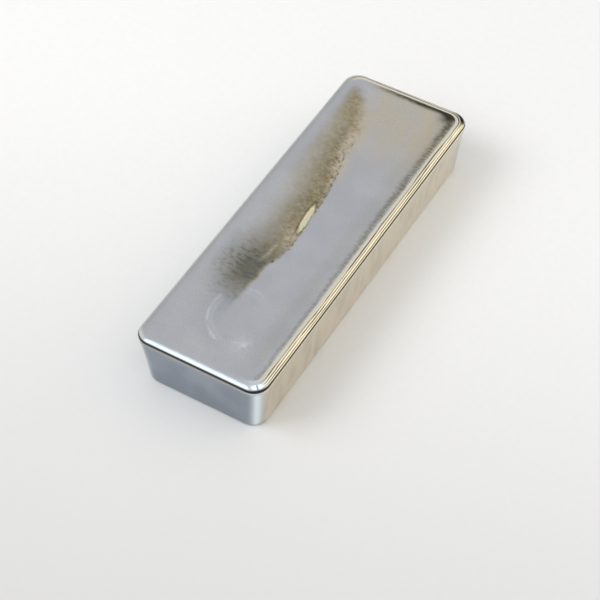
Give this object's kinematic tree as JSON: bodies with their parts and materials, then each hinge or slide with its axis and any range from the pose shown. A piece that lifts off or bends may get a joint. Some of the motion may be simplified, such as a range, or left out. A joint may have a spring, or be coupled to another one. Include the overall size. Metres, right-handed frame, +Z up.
{
  "type": "indium ingot",
  "caption": "Cast metal ingot: a long rectangular trapezoid bar with rounded corners, a raised rounded rim and a shallow dished top.",
  "frame": {"origin": "centre of the foot, which lies on z = 0", "axes": "+X along the bar, +Y across it, +Z up out of the dished top"},
  "size_m": [0.178, 0.06, 0.028],
  "materials": {
    "indium": "bright as-cast silver-white metal, satin on the frozen top and near mirror on the mould-cast walls"
  },
  "bodies": {
    "root": {"ingot": "indium"}
  },
  "joints": []
}
